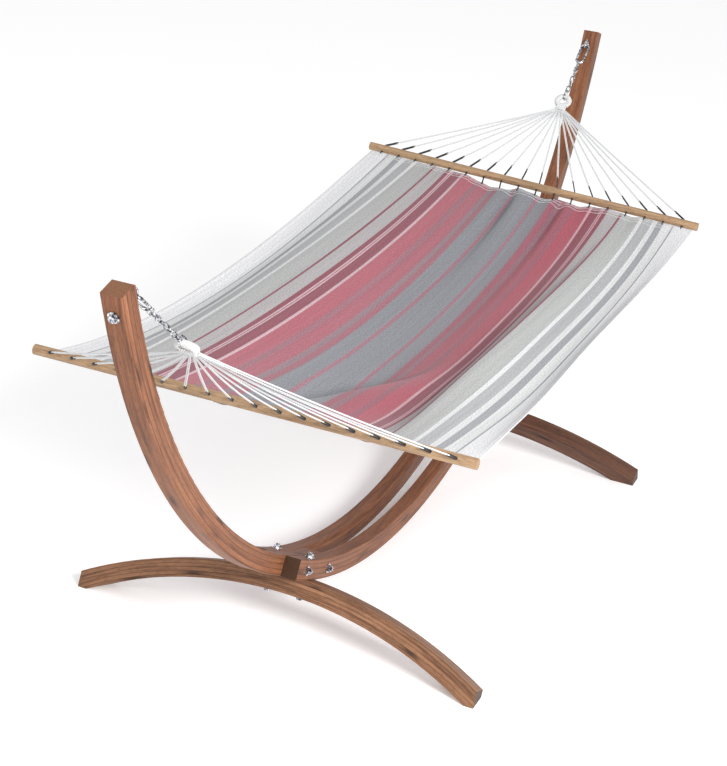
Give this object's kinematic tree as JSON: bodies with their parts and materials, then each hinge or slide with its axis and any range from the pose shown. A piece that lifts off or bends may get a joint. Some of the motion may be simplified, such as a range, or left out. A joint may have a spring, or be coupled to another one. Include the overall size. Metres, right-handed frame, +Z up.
{
  "type": "hammock on stand",
  "caption": "Striped spreader-bar hammock hung by cords, chains and snap hooks from a curved wooden arch stand on two arched feet.",
  "frame": {"origin": "on the ground below the centre of the arch stand", "axes": "+X from the near end to the far end along the arch, +Y to the left side seen from the near end, +Z up"},
  "size_m": [3.392, 1.208, 1.2982],
  "materials": {
    "stand_wood": "oiled laminated softwood",
    "foot_wood": "oiled laminated softwood",
    "bar_wood": "clear lacquered hardwood",
    "zinc_steel": "bright zinc plated",
    "white_cord": "twisted cord",
    "black_cord": "braided cord",
    "cloth": "striped woven cloth"
  },
  "bodies": {
    "stand": {"centre_beam_left": "stand_wood", "centre_beam_right": "stand_wood", "near_post": "stand_wood", "far_post": "stand_wood", "near_foot": "foot_wood", "far_foot": "foot_wood", "near_joint_bolts": "zinc_steel", "far_joint_bolts": "zinc_steel", "near_joint_washers": "zinc_steel", "far_joint_washers": "zinc_steel", "near_joint_nuts": "zinc_steel", "far_joint_nuts": "zinc_steel", "near_foot_bolts": "zinc_steel", "far_foot_bolts": "zinc_steel", "near_foot_washers": "zinc_steel", "far_foot_washers": "zinc_steel", "near_foot_nuts": "zinc_steel", "far_foot_nuts": "zinc_steel", "near_eye_bolt": "zinc_steel", "far_eye_bolt": "zinc_steel", "near_eye_washer": "zinc_steel", "far_eye_washer": "zinc_steel", "near_eye_nut": "zinc_steel", "far_eye_nut": "zinc_steel"},
    "hammock": {"near_snap_hook": "zinc_steel", "far_snap_hook": "zinc_steel", "near_gate_pin": "zinc_steel", "far_gate_pin": "zinc_steel", "near_chain": "zinc_steel", "far_chain": "zinc_steel", "near_connector_link": "zinc_steel", "far_connector_link": "zinc_steel", "near_ring": "white_cord", "far_ring": "white_cord", "near_cord_neck": "white_cord", "far_cord_neck": "white_cord", "near_cords": "white_cord", "far_cords": "white_cord", "near_loops": "black_cord", "far_loops": "black_cord", "near_spreader_bar": "bar_wood", "far_spreader_bar": "bar_wood", "fabric_bed": "cloth"},
    "near_gate": {"near_hook_gate": "zinc_steel"},
    "far_gate": {"far_hook_gate": "zinc_steel"}
  },
  "joints": [
    {"name": "hammock_swing", "type": "hinge", "parent": "stand", "child": "hammock", "pos_m": [0, 0, 1.25088], "axis": [1, 0, 0], "range_deg": [-20, 20]},
    {"name": "near_gate_hinge", "type": "hinge", "parent": "hammock", "child": "near_gate", "pos_m": [-1.54892, -0.013, 1.21337], "axis": [-0.6252, 0, -0.7804], "range_deg": [0, 20], "stiffness_Nm_per_rad": 0.05, "springref_deg": -17.19},
    {"name": "far_gate_hinge", "type": "hinge", "parent": "hammock", "child": "far_gate", "pos_m": [1.54969, -0.013, 1.21243], "axis": [-0.6388, 0, 0.7694], "range_deg": [0, 20], "stiffness_Nm_per_rad": 0.05, "springref_deg": -17.19}
  ]
}
